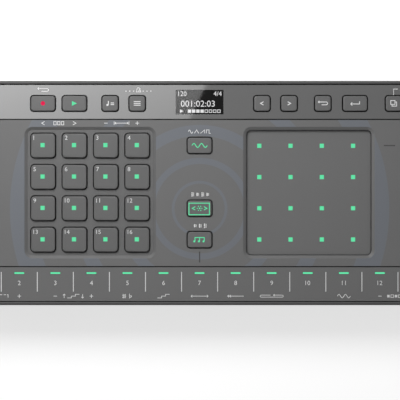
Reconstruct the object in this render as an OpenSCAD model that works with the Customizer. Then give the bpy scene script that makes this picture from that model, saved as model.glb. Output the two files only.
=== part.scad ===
// Desk controller with sixteen pads, a touch pad, touch keys, push buttons and a small display.
// Millimetres. The origin is on the table, under the middle of the case; the user sits at -Y.

/* [Case] */
// Width of the case
body_w = 238.2; // [236:0.2:250]
// Depth of the case from front to rear
body_d = 112; // [110:0.5:120]
// Height of the top face above the table
face_z = 26; // [25:0.5:32]
// Thickness of the side walls, which show from above as the rim
wall = 1.65; // [1.4:0.05:1.9]
// Radius of the upright corners of the case
corner_r = 6; // [4:0.5:9]
// Rounding of the rim and of the bottom edge
edge_r = 0.9; // [0.4:0.1:1.2]
// Height of the seam between the case halves above the table
seam_z = 6; // [5.5:0.1:6.4]
// Thickness of the floor
floor_t = 2; // [1.6:0.1:2.4]
// Height of the lower case's lip above the seam
lip_h = 1.6; // [1:0.1:1.8]
// Thickness of that lip
lip_t = 1.2; // [0.8:0.1:1.6]
// Gap between the lip and the upper case
lip_gap = 0.15; // [0.1:0.05:0.3]
// Width of the ledge that carries the deck
ledge_w = 1.5; // [1:0.1:1.6]
// Thickness of that ledge
ledge_t = 1.5; // [1:0.1:2]
// Height of the stiffening ribs on the floor
rib_h = 1.2; // [0.6:0.1:1.6]
// Thickness of those ribs
rib_t = 1.2; // [0.8:0.1:1.6]

/* [Feet and screws] */
// Radius of a rubber foot
foot_r = 6; // [4:0.5:7]
// Height of the case above the table
foot_gap = 1.5; // [1:0.1:2.5]
// Depth of the seat of a foot in the floor
foot_seat = 0.7; // [0.4:0.1:1]
// Distance of a foot's centre from the side wall
foot_inset_x = 14; // [13:0.5:20]
// Distance of a foot's centre from the front or rear wall
foot_inset_y = 10; // [9:0.5:14]
// Bevel of a foot's lower edge
foot_bevel = 0.6; // [0.3:0.1:0.8]
// Radius of the posts that take the case screws
post_r = 3.2; // [2.8:0.1:3.4]
// Distance of the outer posts from the side walls
post_inset = 4.8; // [4.7:0.1:5.2]
// Distance of the front posts from the front wall
post_front_inset = 5.3; // [4.8:0.1:6]
// Distance of the rear posts from the main panel's rear edge
post_rear_inset = 3; // [2.8:0.1:3.2]
// Room between a post and the hole in the control board
post_gap = 0.6; // [0.3:0.1:0.8]
// Wall of a boss beyond the post that stands on it
boss_wall = 0.6; // [0.3:0.1:0.8]
// Radius of a case screw's shank
screw_r = 1.2; // [0.8:0.1:1.4]
// Radius of a case screw's head
screw_head_r = 2.2; // [1.8:0.1:2.4]
// Height of a case screw's head
screw_head_h = 1.5; // [1:0.1:1.6]
// Length of a case screw's shank
screw_l = 9; // [7:0.5:11]
// Thickness of the boss above a case screw's head
screw_web = 2.4; // [2:0.1:2.6]
// Room around a case screw's head
head_gap = 0.3; // [0.1:0.1:0.4]
// Room around a screw's shank and a foot
screw_gap = 0.05; // [0.03:0.01:0.1]
// Radius of the standoffs that carry the control board
standoff_r = 2.6; // [2.2:0.1:3]
// Distance of the outer standoffs from the dishes
standoff_out = 7.8; // [6:0.1:8]
// Distance of the rear standoffs from the main panel's rear edge
standoff_edge = 1.3; // [0.8:0.1:1.6]
// Radius of a board screw's shank
board_screw_r = 0.9; // [0.6:0.1:1.1]
// Length of a board screw's shank
board_screw_l = 5; // [4:0.5:6]
// Height of a board screw's head
board_head_h = 1.2; // [0.8:0.1:1.4]

/* [Panels] */
// Depth of the control strip and of the key strip
strip_d = 16.9; // [16.5:0.1:18]
// Thickness of the panels
panel_t = 2.5; // [2.2:0.1:3]
// Thickness of the deck under the panels
deck_t = 2; // [1.7:0.1:2.4]
// Gap between the panels and the rim
rim_gap = 0.45; // [0.3:0.05:0.6]
// Groove between neighbouring panels
groove = 0.55; // [0.4:0.05:0.8]
// How far the key strip lies below the main panel
key_drop = 0.5; // [0.1:0.1:0.6]
// Gap between the deck and the walls
deck_gap = 0.15; // [0.1:0.05:0.3]

/* [Pads and dishes] */
// Number of pads along one side of the square
pads_per_side = 4; // [2:1:4]
// Floor between the openings of two neighbouring pads
pad_street = 2.55; // [2:0.05:3.5]
// Corner radius of a pad
pad_corner = 1.7; // [1:0.1:3]
// Height of a pad above the floor of its dish
pad_rise = 1.5; // [1:0.1:2]
// Width of the panel between the two dishes
column_w = 43.5; // [42:0.1:46]
// Distance of the dish centres behind the middle of the case
dish_y = 0.2; // [-1:0.1:1]
// Flat panel in front of and behind a dish
dish_border = 3.62; // [3:0.02:5]
// Depth of the dishes
dish_depth = 1; // [0.6:0.1:1.2]
// Width of a dish's sloping side, seen from above
dish_slope = 1.5; // [1:0.1:2]
// Flat floor between the pad openings and the sloping side
dish_margin = 1.3; // [0.8:0.1:1.8]
// Corner radius of a dish's floor
dish_corner = 2.6; // [1.5:0.1:4]

/* [Buttons] */
// Width of a wide button
wide_w = 12; // [10:0.1:12.6]
// Width of a narrow button
narrow_w = 7.9; // [7.2:0.1:8.4]
// Depth of the buttons in the control strip
strip_cap_d = 7.5; // [7.2:0.1:8.5]
// Depth of the buttons on the main panel
column_cap_d = 7.8; // [7.2:0.1:9]
// Corner radius of a button
button_corner = 1.3; // [0.9:0.1:2]
// Height of a button above the panel
button_rise = 0.9; // [0.8:0.1:1.5]
// Distance between two buttons that form a pair
pair_pitch = 13.5; // [12.6:0.1:14]
// Distance of the strip's buttons behind the middle of the strip
strip_cap_shift = -0.8; // [-1.2:0.1:1]
// Gap between the back button and the enter button
enter_gap = 6.1; // [4:0.1:7]
// Shift of those two from the middle between the right button and the copy button
enter_shift = -0.2; // [-1:0.1:1]
// Distance of the last button in the strip from the strip's end
end_margin = 6.75; // [6.6:0.05:8]
// Distance of the button beside the touch pad from the panel's end
side_margin = 10; // [9:0.1:13]

/* [Caps of pads and buttons] */
// Gap around a cap in its opening
cap_gap = 0.55; // [0.4:0.05:0.6]
// Rounding of a cap's upper edge
cap_edge = 0.45; // [0.2:0.05:0.8]
// How far a cap's flange reaches under the deck
cap_hold = 0.7; // [0.4:0.1:0.8]
// Thickness of a cap's flange
flange_t = 1; // [0.8:0.1:1.3]
// Wall of a cap
cap_wall = 1.2; // [0.9:0.1:1.4]
// Roof of a cap
cap_roof = 1.4; // [1:0.1:1.8]
// Width of the plunger under a cap
plunger_w = 4.4; // [3.8:0.1:4.6]
// Width of the light well in a plunger
well_w = 2.6; // [2.2:0.1:2.8]

/* [Touch plate and keys] */
// Thickness of the touch plate
touch_t = 1.1; // [0.9:0.1:1.4]
// Gap around the touch plate
touch_gap = 0.35; // [0.2:0.05:0.5]
// How deep the touch plate's seat is sunk into the deck
touch_sink = 1.2; // [0.6:0.1:1.3]
// Width of the deck's ledge under the touch plate
touch_ledge = 2.6; // [1.5:0.1:3]
// Width of a light square
light_w = 2.05; // [1.6:0.05:2.2]
// Shift of the light squares from the middle of the touch plate
light_shift = -1.2; // [-1.5:0.1:1]
// Number of touch keys
key_count = 13; // [7:1:13]
// Width of the light bar of a key
key_bar_w = 5.15; // [3:0.05:6]
// Depth of the light bar of a key
key_bar_d = 1.05; // [0.8:0.05:1.5]
// Distance of the light bars behind the middle of the key strip
key_bar_shift = 5.5; // [3:0.1:5.5]
// Width of the deck's ledge under the key strip
key_ledge = 1.9; // [1.5:0.1:2]
// Distance of the key board's ends from the ends of the key strip
key_board_inset = 8; // [7.8:0.1:9]
// Gap around a light pipe
pipe_gap = 0.05; // [0.03:0.01:0.1]

/* [Display] */
// Width of the display window
window_w = 23.8; // [20:0.1:25]
// Depth of the display window
window_d = 12.2; // [10:0.1:12.8]
// Distance of the window behind the middle of the control strip
window_shift = -0.1; // [-0.5:0.1:0.5]
// Width of the display's glass
glass_w = 26.7; // [26:0.1:28]
// Depth of the display's glass
glass_d = 19.2; // [18:0.1:20]
// Thickness of the display's glass
glass_t = 1.45; // [1:0.05:1.6]
// How far the glass reaches behind the window
glass_top_margin = 1.4; // [1:0.1:1.5]
// Gap around the window and the glass
glass_gap = 0.2; // [0.1:0.05:0.3]
// How far the carrier reaches past the glass on either side
carrier_margin = 3; // [2:0.1:3.5]
// Thickness of the carrier under the glass
carrier_t = 1.5; // [1:0.1:2]
// How far the carrier stays inside the glass at the front and rear
carrier_inset = 1; // [0.5:0.1:2]
// Width of the flat flex
flex_w = 12; // [8:0.5:13]
// Thickness of the flat flex
flex_t = 0.3; // [0.2:0.05:0.4]
// Bend radius of the flat flex
flex_r = 1.4; // [1:0.1:1.6]
// Length of the flat flex on the carrier and on the board
flex_tail = 3; // [2:0.1:4]
// Distance of the flat flex from the front edge of the glass
flex_inset = 4; // [3:0.1:5]

/* [Boards] */
// Thickness of the control board
board_t = 1.6; // [1.2:0.1:2]
// Height of the room between the deck and the control board
board_room = 6; // [5.5:0.1:6.5]
// Gap between the control board and the walls
board_gap = 1.5; // [1.2:0.1:2]
// Thickness of the touch and key sensor boards
sensor_t = 1; // [0.8:0.1:1.4]
// Gap around the sensor boards
sensor_gap = 0.3; // [0.2:0.05:0.5]
// Height of a rubber dome above the board
dome_h = 3; // [2.6:0.1:3.2]
// Radius of a rubber dome at its foot
dome_r = 4.4; // [4:0.1:4.8]
// Radius of a rubber dome at its tip
dome_tip_r = 2.6; // [2.5:0.1:2.8]
// Radius of the hollow at a dome's tip
dome_hollow_r = 1.5; // [1.3:0.1:1.7]
// Thickness of the rubber
rubber_t = 0.8; // [0.6:0.1:1]
// Width of a light-emitting diode
led_w = 2; // [1.5:0.1:2.2]
// Height of a light-emitting diode
led_h = 0.8; // [0.6:0.1:1]
// Width of the controller chip
chip_w = 12; // [8:0.5:12]
// Width of the smaller chips
small_chip_w = 7; // [4:0.5:8]
// Height of the chips
chip_h = 1.4; // [0.8:0.1:2]
// Length of a header between two boards
header_l = 11; // [8:0.5:12]
// Width of a header between two boards
header_w = 2.5; // [2:0.1:3]
// Gap between a diode and its light pipe
led_gap = 0.3; // [0.2:0.05:0.5]

/* [Rear sockets] */
// Distance of the USB port from the right end of the case
usb_end = 57.1; // [50:0.1:64]
// Width of the USB port
usb_w = 8.9; // [8.8:0.1:9.2]
// Height of the USB port
usb_h = 3.3; // [3.2:0.1:3.4]
// Length of the USB port
usb_l = 7.4; // [6:0.1:8]
// Sheet thickness of the USB port
usb_t = 0.35; // [0.25:0.05:0.4]
// Thickness of the tongue in the USB port
usb_tongue_t = 0.7; // [0.5:0.05:0.8]
// Thickness of the USB port's rear wall
usb_back_t = 1; // [0.8:0.1:1.5]
// Distance of the USB port's mouth from the outside of the rear wall
usb_setback = 0.5; // [0.3:0.1:1]
// Distance of the MIDI input jack from the right end of the case
midi_in_end = 99.1; // [95:0.1:105]
// Distance of the MIDI output jack from the right end of the case
midi_out_end = 83.1; // [75:0.1:88]
// Distance of the phones jack from the left end of the case
phones_end = 69.1; // [61:0.1:89]
// Radius of a jack's bore
jack_bore_r = 1.8; // [1.78:0.01:1.85]
// Depth of a jack's bore
jack_bore_l = 13.3; // [12:0.1:13.8]
// Width of a jack
jack_w = 6.4; // [6:0.1:7]
// Height of a jack
jack_h = 5; // [4.8:0.1:5.2]
// Length of a jack
jack_l = 12.4; // [12.2:0.1:14]
// Radius of a jack's nose, which passes through the rear wall
nose_r = 2.5; // [2.4:0.1:2.6]
// How far a jack's nose stands out of the rear wall
nose_proud = 0.2; // [0.1:0.1:0.4]
// Gap between a jack and the rear wall
jack_gap = 0.05; // [0.03:0.01:0.1]
// Distance of the power switch from the right end of the case
power_end = 33.1; // [27:0.1:39]
// Travel of the power slider
power_travel = 3; // [2:0.1:4]
// Width of the power slider
slider_w = 2.8; // [2:0.1:3.5]
// Height of the power slider
slider_h = 2; // [1.6:0.1:2.4]
// Height of the power switch
switch_h = 3.6; // [3.2:0.1:4]
// Depth of the power switch
switch_d = 4.4; // [4:0.1:5]
// Wall of the power switch beside the slider's slot
switch_wall = 1.4; // [0.8:0.1:2]
// Distance of the power switch from the rear wall
switch_back = 2; // [1.5:0.1:2.5]
// How far the slider reaches into the power switch
slider_tail = 1.1; // [0.8:0.1:1.5]
// Gap around the slider in the power switch
slider_gap = 0.2; // [0.1:0.05:0.3]
// Distance of the slider's end from the outside of the rear wall
slider_setback = 0.3; // [0.1:0.1:0.6]
// Distance of the volume wheel from the left end of the case
wheel_end = 43.1; // [33:0.1:49]
// Radius of the volume wheel
wheel_r = 9; // [8:0.1:10]
// Thickness of the volume wheel
wheel_t = 3; // [2.4:0.1:3.2]
// How far the volume wheel stands out of the rear wall
wheel_proud = 0.6; // [0.3:0.1:1]
// Radius of the volume wheel's shaft
shaft_r = 2; // [1.5:0.1:2.5]
// Gap between the wheel and its shaft
shaft_gap = 0.08; // [0.05:0.01:0.1]
// Thickness of the potentiometer
pot_t = 2.2; // [2:0.1:2.4]
// Width of the potentiometer
pot_w = 11; // [9:0.5:11]
// Gap between the wheel and the potentiometer, and between the wheel and its clip
wheel_gap = 0.2; // [0.1:0.05:0.3]
// Thickness of the clip under the wheel
clip_t = 0.4; // [0.3:0.05:0.5]
// How far the clip reaches past the shaft
clip_lip = 1; // [0.6:0.1:1.5]
// Number of grooves round the wheel
knurl_count = 28; // [12:1:36]
// Radius of a groove round the wheel
knurl_r = 0.5; // [0.3:0.1:0.6]
// Gap around what passes through the rear wall
port_gap = 0.35; // [0.2:0.05:0.5]

/* [Hidden] */
$fn = 48;
// Overshoot of a cut past the face that it opens
cut = 0.5;
// Straight steps in a corner of a lofted cap and of the lofted case
cap_steps = 4;
case_steps = 10;
// Cross recess of a screw, as parts of its head's radius and height
recess_span = 1.2;
recess_width = 0.3;
recess_floor = 0.4;
// Bays into which the floor's ribs divide its width and its depth
rib_bays_x = 6;
rib_bays_y = 3;

// The inside of the case
inner_w = body_w - 2 * wall;
inner_d = body_d - 2 * wall;
inner_r = corner_r - wall;

// Levels, from the top down
deck_top = face_z - panel_t;
deck_low = deck_top - deck_t;
flange_low = deck_low - flange_t;
board_top = deck_low - board_room;
board_low = board_top - board_t;
dome_top = board_top + dome_h;
led_top = board_top + led_h;
dome_base_w = 2 * dome_r + rubber_t;
floor_top = foot_gap + floor_t;
touch_low = deck_top - touch_sink;
touch_top = touch_low + touch_t;
touch_board_low = touch_low - sensor_t;
key_top = face_z - key_drop;
sensor_low = deck_top - sensor_t;

// The three panels
panel_w = inner_w - 2 * rim_gap;
panel_corner = inner_r - rim_gap;
strip_y = inner_d / 2 - rim_gap - strip_d / 2;
main_d = inner_d - 2 * (rim_gap + strip_d + groove);
panel_edge_y = main_d / 2;

// Pads, dishes and the lights of the touch plate
dish_w = main_d - 2 * dish_border;
dish_x = (column_w + dish_w) / 2;
dish_floor = dish_w - 2 * dish_slope;
dish_z = face_z - dish_depth;
pad_open = (dish_floor - 2 * dish_margin - (pads_per_side - 1) * pad_street) / pads_per_side;
pad_size = pad_open - 2 * cap_gap;
pad_pitch = pad_open + pad_street;
pad_span = (pads_per_side - 1) * pad_pitch;
DISH = [
    [dish_floor, dish_floor, dish_corner, dish_z],
    [dish_w, dish_w, dish_corner + dish_slope, face_z],
    [dish_w, dish_w, dish_corner + dish_slope, face_z + cut]
];
touch_w = dish_floor - 2 * touch_gap;
touch_open = touch_w - 2 * touch_ledge;
pad_count = pads_per_side * pads_per_side;
function grid(i) = [
    (i % pads_per_side) * pad_pitch - pad_span / 2,
    pad_span / 2 - floor(i / pads_per_side) * pad_pitch
];
function pad_at(i) = grid(i) + [-dish_x, dish_y];
function light_at(i) = grid(i) + [dish_x + light_shift, dish_y];
function row_y(row) = dish_y + pad_span / 2 - row * pad_pitch;
function column_x(column) = -dish_x - pad_span / 2 + column * pad_pitch;

// Keys
key_pitch = panel_w / key_count;
function key_x(i) = (i - (key_count - 1) / 2) * key_pitch;
key_bar_y = key_bar_shift - strip_y;
key_open_w = panel_w - 2 * (key_board_inset - sensor_gap);
key_open_d = strip_d - 2 * key_ledge;

// Buttons: name, place across, place along, width, depth
last_column = pads_per_side - 1;
strip_cap_y = strip_y + strip_cap_shift;
menu_x = column_x(last_column);
right_x = pair_pitch - menu_x;
clear_x = panel_w / 2 - end_margin;
copy_x = clear_x - pair_pitch;
back_x = (right_x + copy_x - enter_gap - wide_w) / 2 + enter_shift;
enter_x = (right_x + copy_x + enter_gap + narrow_w) / 2 + enter_shift;
touch_mode_x = panel_w / 2 - side_margin;
STRIP_BUTTONS = [
    ["record_button", column_x(0), strip_cap_y, pad_size, strip_cap_d],
    ["play_button", column_x(1), strip_cap_y, pad_size, strip_cap_d],
    ["tempo_button", menu_x - pair_pitch, strip_cap_y, narrow_w, strip_cap_d],
    ["menu_button", menu_x, strip_cap_y, narrow_w, strip_cap_d],
    ["left_button", -menu_x, strip_cap_y, narrow_w, strip_cap_d],
    ["right_button", right_x, strip_cap_y, narrow_w, strip_cap_d],
    ["back_button", back_x, strip_cap_y, narrow_w, strip_cap_d],
    ["enter_button", enter_x, strip_cap_y, wide_w, strip_cap_d],
    ["copy_button", copy_x, strip_cap_y, narrow_w, strip_cap_d],
    ["clear_button", clear_x, strip_cap_y, narrow_w, strip_cap_d],
];
PANEL_BUTTONS = [
    ["sound_button", 0, row_y(0), wide_w, column_cap_d],
    ["mode_button", 0, row_y(last_column - 1), wide_w, column_cap_d],
    ["chord_button", 0, row_y(last_column), wide_w, column_cap_d],
    ["touch_mode_button", touch_mode_x, row_y(0), wide_w, column_cap_d],
];
BUTTONS = concat(STRIP_BUTTONS, PANEL_BUTTONS);

// Display
window_y = strip_y + window_shift;
glass_rear = window_y + window_d / 2 + glass_top_margin;
glass_y = glass_rear - glass_d / 2;
glass_low = deck_top - glass_t;
carrier_w = glass_w + 2 * carrier_margin;
carrier_d = glass_d - 2 * carrier_inset;
carrier_low = deck_low - carrier_t;
flex_y = glass_y - glass_d / 2 + flex_inset;

// Posts, standoffs and feet
post_x = inner_w / 2 - post_inset;
mid_post_x = (dish_x - dish_w / 2 + wide_w / 2) / 2;
FRONT_POSTS = [for (side = [-1, 1]) [side * post_x, post_front_inset - inner_d / 2]];
SIDE_POSTS = [for (side = [-1, 1]) [side * post_x, panel_edge_y - post_rear_inset]];
MID_POSTS = [for (side = [-1, 1]) [side * mid_post_x, 0]];
POSTS = concat(FRONT_POSTS, SIDE_POSTS, MID_POSTS);
standoff_x = dish_x + dish_w / 2 + standoff_out;
inner_standoff_x = glass_w / 2 + standoff_out;
standoff_rear_y = panel_edge_y - standoff_edge;
STANDOFFS = [
    [-standoff_x, row_y(0)],
    [-standoff_x, row_y(last_column)],
    [standoff_x, row_y(last_column - 1)],
    [standoff_x, row_y(last_column)],
    [0, (row_y(0) + row_y(last_column - 1)) / 2],
    [-inner_standoff_x, standoff_rear_y],
    [inner_standoff_x, standoff_rear_y]
];
FEET = [
    for (sx = [-1, 1], sy = [-1, 1])
        [sx * (inner_w / 2 - foot_inset_x), sy * (inner_d / 2 - foot_inset_y)]
];
screw_seat = seam_z - screw_web;
counterbore_r = screw_head_r + head_gap;
boss_r = post_r + boss_wall;
board_hole_r = post_r + post_gap;
notch_w = 2 * (post_inset + board_hole_r);
notch_d = 2 * (post_front_inset + board_hole_r);

// Rear sockets, hanging under the control board
rear_inside = inner_d / 2;
usb_x = body_w / 2 - usb_end;
midi_in_x = body_w / 2 - midi_in_end;
midi_out_x = body_w / 2 - midi_out_end;
phones_x = phones_end - body_w / 2;
power_x = body_w / 2 - power_end;
wheel_x = wheel_end - body_w / 2;
jack_z = board_low - jack_h / 2;
jack_face = rear_inside - jack_gap;
nose_end = body_d / 2 + nose_proud;
usb_z = board_low - usb_h / 2;
usb_face = body_d / 2 - usb_setback;
slider_slot_w = slider_w + power_travel + 2 * slider_gap;
switch_w = slider_slot_w + 2 * switch_wall;
switch_z = board_low - switch_h / 2;
switch_face = rear_inside - switch_back;
wheel_y = body_d / 2 + wheel_proud - wheel_r;
wheel_top = board_low - pot_t - wheel_gap;
wheel_low = wheel_top - wheel_t;
wheel_z = (wheel_top + wheel_low) / 2;
wheel_chord = 2 * sqrt(pow(wheel_r, 2) - pow(rear_inside - wheel_y, 2));

// Shapes that repeat

function pad_name(i) = str("pad_", i + 1);

// Points of a rounded rectangle, anticlockwise from its right side
function rounded_points(w, d, r, steps) = [
    for (q = [0:3], i = [0:steps])
        let (a = 90 * (q + i / steps), sx = (q == 0 || q == 3) ? 1 : -1, sy = q < 2 ? 1 : -1)
            [sx * (w / 2 - r) + r * cos(a), sy * (d / 2 - r) + r * sin(a)]
];

// Solid through a stack of rounded rectangles, each given as width, depth, corner radius and height
module loft(rings, steps) {
    n = 4 * (steps + 1);
    last = len(rings) - 1;
    points = [
        for (s = rings, p = rounded_points(s[0], s[1], s[2], steps)) [p[0], p[1], s[3]]
    ];
    sides = [
        for (k = [0:last - 1], i = [0:n - 1])
            [k * n + i, (k + 1) * n + i, (k + 1) * n + (i + 1) % n, k * n + (i + 1) % n]
    ];
    low = [for (i = [0:n - 1]) i];
    high = [for (i = [n - 1:-1:0]) last * n + i];
    polyhedron(points = points, faces = concat(sides, [low, high]));
}

// Ring of such a stack on a rounded upper or lower edge, at an angle round the edge
function edge_ring(w, d, r, e, z, up, angle) = [
    w - 2 * e * (1 - cos(angle)),
    d - 2 * e * (1 - cos(angle)),
    r - e * (1 - cos(angle)),
    z + up * e * (sin(angle) - 1)
];

// Outline of a rectangle with round corners
module rounded(w, d, r) {
    square([w - 2 * r, d], center = true);
    square([w, d - 2 * r], center = true);
    for (sx = [-1, 1], sy = [-1, 1])
        translate([sx * (w / 2 - r), sy * (d / 2 - r)])
            circle(r);
}

// Upright plate with round corners between two levels
module plate(w, d, r, low, high) {
    translate([0, 0, low])
        linear_extrude(high - low)
            rounded(w, d, r);
}

// Box centred across and along, between two levels
module block(w, d, low, high) {
    translate([-w / 2, -d / 2, low])
        cube([w, d, high - low]);
}

// Upright round bar between two levels
module bar(r, low, high) {
    translate([0, 0, low])
        cylinder(r = r, h = high - low);
}

// Opening of a cap through everything between two levels
module cap_opening(w, d, r, low, high) {
    plate(w + 2 * cap_gap, d + 2 * cap_gap, r + cap_gap, low, high);
}

module pad_openings(low, high) {
    for (i = [0:pad_count - 1])
        translate(pad_at(i))
            cap_opening(pad_size, pad_size, pad_corner, low, high);
}

module button_openings(buttons, low, high) {
    for (b = buttons)
        translate([b[1], b[2]])
            cap_opening(b[3], b[4], button_corner, low, high);
}

// Hollow cap with a soft upper edge, a flange below the deck and a plunger with a light well
module cap(w, d, r, top) {
    reach = cap_gap + cap_hold;
    difference() {
        union() {
            loft([
                [w, d, r, deck_low - flange_t / 2],
                edge_ring(w, d, r, cap_edge, top, 1, 0),
                edge_ring(w, d, r, cap_edge, top, 1, 45),
                edge_ring(w, d, r, cap_edge, top, 1, 90)
            ], cap_steps);
            plate(w + 2 * reach, d + 2 * reach, r + reach, flange_low, deck_low);
        }
        block(w - 2 * cap_wall, d - 2 * cap_wall, flange_low - cut, top - cap_roof);
    }
    difference() {
        block(plunger_w, plunger_w, dome_top, top - cap_roof / 2);
        block(well_w, well_w, dome_top - cut, top - cap_roof);
    }
}

// Rubber dome on its base, hollow over the diode
module dome_outside() {
    translate([0, 0, board_top])
        cylinder(r1 = dome_r, r2 = dome_tip_r, h = dome_h);
}

module dome_inside() {
    translate([0, 0, board_top - cut])
        cylinder(r1 = dome_r - rubber_t + cut / 2, r2 = dome_hollow_r, h = dome_h + 2 * cut);
}

// Screw with a cross recess, head down, its head's upper face at the origin
module screw(r, l, head_r, head_h) {
    difference() {
        union() {
            bar(r, 0, l);
            bar(head_r, -head_h, 0);
        }
        for (turn = [0, 90])
            rotate(turn)
                block(head_r * recess_span, head_r * recess_width, -head_h - cut, -head_h * recess_floor);
    }
}

// Headphone-size jack under the control board, its nose towards +Y
module jack() {
    difference() {
        union() {
            translate([0, jack_face - jack_l / 2, jack_z])
                cube([jack_w, jack_l, jack_h], center = true);
            translate([0, nose_end, jack_z])
                rotate([90, 0, 0])
                    bar(nose_r, 0, nose_end - jack_face + cut);
        }
        translate([0, nose_end, jack_z])
            rotate([90, 0, 0])
                bar(jack_bore_r, -cut, jack_bore_l);
    }
}

// Case

module lower_case() color("#4a4b4d") {
    lip_w = inner_w - 2 * lip_gap;
    lip_d = inner_d - 2 * lip_gap;
    lip_r = inner_r - lip_gap;
    difference() {
        union() {
            difference() {
                union() {
                    loft([
                        edge_ring(body_w, body_d, corner_r, edge_r, foot_gap, -1, 90),
                        edge_ring(body_w, body_d, corner_r, edge_r, foot_gap, -1, 45),
                        edge_ring(body_w, body_d, corner_r, edge_r, foot_gap, -1, 0),
                        [body_w, body_d, corner_r, seam_z]
                    ], case_steps);
                    plate(lip_w, lip_d, lip_r, seam_z - cut, seam_z + lip_h);
                }
                plate(lip_w - 2 * lip_t, lip_d - 2 * lip_t, lip_r - lip_t, floor_top, seam_z + lip_h + cut);
            }
            for (p = POSTS)
                translate(p)
                    bar(boss_r, floor_top - cut, seam_z);
            for (i = [1:rib_bays_y - 1])
                translate([0, (i / rib_bays_y - 0.5) * inner_d])
                    block(inner_w - 2 * lip_t, rib_t, floor_top - cut, floor_top + rib_h);
            for (i = [1:rib_bays_x - 1])
                translate([(i / rib_bays_x - 0.5) * inner_w, 0])
                    block(rib_t, inner_d - 2 * lip_t, floor_top - cut, floor_top + rib_h);
        }
        for (p = POSTS)
            translate(p) {
                bar(counterbore_r, foot_gap - cut, screw_seat);
                bar(screw_r + screw_gap, screw_seat - cut, seam_z + cut);
            }
        for (p = FEET)
            translate(p)
                bar(foot_r + screw_gap, foot_gap - cut, foot_gap + foot_seat);
    }
}

module upper_case() color("#5a5b5d") {
    difference() {
        loft([
            [body_w, body_d, corner_r, seam_z],
            edge_ring(body_w, body_d, corner_r, edge_r, face_z, 1, 0),
            edge_ring(body_w, body_d, corner_r, edge_r, face_z, 1, 45),
            edge_ring(body_w, body_d, corner_r, edge_r, face_z, 1, 90)
        ], case_steps);
        plate(inner_w, inner_d, inner_r, seam_z - cut, deck_low - ledge_t);
        plate(inner_w - 2 * ledge_w, inner_d - 2 * ledge_w, inner_r - ledge_w, seam_z, face_z);
        plate(inner_w, inner_d, inner_r, deck_low, face_z + cut);
        rear_openings();
    }
}

module rear_openings() {
    depth = 3 * wall;
    translate([usb_x, body_d / 2, usb_z])
        rotate([90, 0, 0])
            plate(usb_w + 2 * port_gap, usb_h + 2 * port_gap, usb_h / 2, -depth, depth);
    for (x = [midi_in_x, midi_out_x, phones_x])
        translate([x, body_d / 2, jack_z])
            rotate([90, 0, 0])
                bar(nose_r + port_gap, -depth, depth);
    translate([power_x, body_d / 2, switch_z])
        cube([slider_w + power_travel + 2 * port_gap, 2 * depth, slider_h + 2 * port_gap], center = true);
    translate([wheel_x, body_d / 2, wheel_z])
        cube([wheel_chord + 4 * port_gap, 2 * depth, wheel_t + 2 * port_gap], center = true);
}

module deck_plate() color("#3c3d3f") {
    difference() {
        union() {
            plate(inner_w - 2 * deck_gap, inner_d - 2 * deck_gap, inner_r - deck_gap, deck_low, deck_top);
            for (p = POSTS)
                translate(p)
                    bar(post_r, seam_z, deck_low + cut);
            for (p = STANDOFFS)
                translate(p)
                    bar(standoff_r, board_top, deck_low + cut);
        }
        pad_openings(deck_low - cut, deck_top + cut);
        button_openings(BUTTONS, deck_low - cut, deck_top + cut);
        translate([dish_x, dish_y]) {
            plate(touch_open, touch_open, dish_corner, deck_low - cut, deck_top + cut);
            plate(dish_floor, dish_floor, dish_corner, touch_low, deck_top + cut);
        }
        translate([0, -strip_y])
            block(key_open_w, key_open_d, deck_low - cut, deck_top + cut);
        key_bars(deck_low - cut, deck_top + cut, sensor_gap);
        translate([0, glass_y])
            block(glass_w + 2 * glass_gap, glass_d + 2 * glass_gap, deck_low - cut, deck_top + cut);
        for (p = POSTS)
            translate(p)
                bar(screw_r + screw_gap, seam_z - cut, screw_seat + screw_l + cut);
        for (p = STANDOFFS)
            translate(p)
                bar(board_screw_r + screw_gap, board_top - cut, board_low + board_screw_l + cut);
    }
}

module rubber_feet() color("#1c1c1d") {
    for (p = FEET)
        translate(p)
            rotate_extrude()
                polygon([
                    [0, 0], [foot_r - foot_bevel, 0], [foot_r, foot_bevel],
                    [foot_r, foot_gap + foot_seat], [0, foot_gap + foot_seat]
                ]);
}

module case_screws() color("#2a2a2c") {
    for (p = POSTS)
        translate([p[0], p[1], screw_seat])
            screw(screw_r, screw_l, screw_head_r, screw_head_h);
}

module board_screws() color("#a8abb0") {
    for (p = STANDOFFS)
        translate([p[0], p[1], board_low])
            screw(board_screw_r, board_screw_l, 2 * board_screw_r, board_head_h);
}

// Panels

module main_panel() color("#707173") {
    difference() {
        block(panel_w, main_d, deck_top, face_z);
        translate([-dish_x, dish_y])
            loft(DISH, case_steps);
        translate([dish_x, dish_y])
            loft(concat([[dish_floor, dish_floor, dish_corner, deck_top - cut]], DISH), case_steps);
        pad_openings(deck_top - cut, face_z + cut);
        button_openings(PANEL_BUTTONS, deck_top - cut, face_z + cut);
    }
}

// Strip with round outer corners, at the rear or, mirrored, at the front
module strip_blank(top) {
    intersection() {
        translate([0, strip_y])
            block(panel_w, strip_d, deck_top, top);
        plate(panel_w, inner_d - 2 * rim_gap, panel_corner, deck_top, top);
    }
}

module control_strip() color("#6c6d6f") {
    difference() {
        strip_blank(face_z);
        button_openings(STRIP_BUTTONS, deck_top - cut, face_z + cut);
        translate([0, window_y])
            block(window_w, window_d, deck_top - cut, face_z + cut);
    }
}

module display_window() color("#202022") {
    translate([0, window_y])
        block(window_w - 2 * pipe_gap, window_d - 2 * pipe_gap, deck_top, face_z);
}

module key_strip() color("#646567") {
    difference() {
        mirror([0, 1, 0])
            strip_blank(key_top);
        key_bars(deck_top - cut, face_z + cut, pipe_gap);
    }
}

// Light bars of the keys, grown by a gap for their slots
module key_bars(low, high, gap) {
    for (i = [0:key_count - 1])
        translate([key_x(i), key_bar_y])
            block(key_bar_w + 2 * gap, key_bar_d + 2 * gap, low, high);
}

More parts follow.
